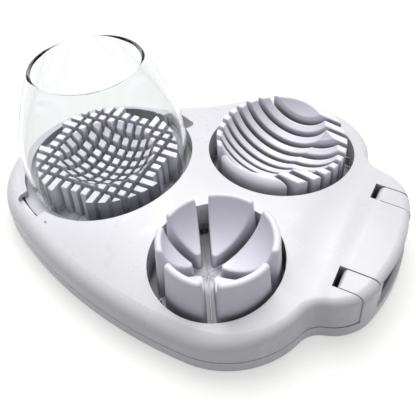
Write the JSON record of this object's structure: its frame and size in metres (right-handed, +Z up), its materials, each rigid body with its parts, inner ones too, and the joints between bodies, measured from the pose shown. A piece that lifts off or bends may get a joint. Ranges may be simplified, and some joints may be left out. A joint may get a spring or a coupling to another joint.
{
  "type": "egg slicer",
  "caption": "Table-top egg slicer with dice, slice and wedge wells under a hinged domed lid that carries cutting wires, and a clear removable guard over the dicing well.",
  "frame": {"origin": "on the table, under the middle of the whole object's box", "axes": "+X along the object from the dicing well to the hinge, +Y across it from the wedge well to the slicing well, +Z up"},
  "size_m": [0.2084, 0.1694, 0.0831],
  "materials": {
    "white_plastic": "satin gloss",
    "anvil_plastic": "satin",
    "frame_plastic": "satin",
    "wire_steel": "drawn wire",
    "screw_steel": "plain",
    "pin_steel": "ground",
    "foot_rubber": "matt",
    "clear_plastic": "clear polished"
  },
  "bodies": {
    "base": {"base_tray": "white_plastic", "dice_anvil": "anvil_plastic", "slice_anvil": "anvil_plastic", "wedge_anvil": "anvil_plastic", "anvil_screws": "screw_steel", "hinge_pin_near": "pin_steel", "hinge_pin_far": "pin_steel", "foot_dice_end_near": "foot_rubber", "foot_dice_end_far": "foot_rubber", "foot_wedge_side": "foot_rubber", "foot_slice_side": "foot_rubber", "foot_hinge_near": "foot_rubber", "foot_hinge_far": "foot_rubber"},
    "lid": {"lid_cover": "white_plastic", "dice_wire_frame": "frame_plastic", "slice_wire_frame": "frame_plastic", "wedge_wire_frame": "frame_plastic", "dice_wires_long": "wire_steel", "dice_wires_cross": "wire_steel", "slice_wires": "wire_steel", "wedge_wires": "wire_steel", "frame_screws": "screw_steel"},
    "guard": {"egg_guard": "clear_plastic"}
  },
  "joints": [
    {"name": "lid_hinge", "type": "hinge", "parent": "base", "child": "lid", "pos_m": [0.0923, -0.00575, 0.0212], "axis": [0, 1, 0], "range_deg": [0, 100]},
    {"name": "guard_lift", "type": "slide", "parent": "lid", "child": "guard", "axis": [0, 0, 1], "range_m": [0, 0.07]}
  ]
}
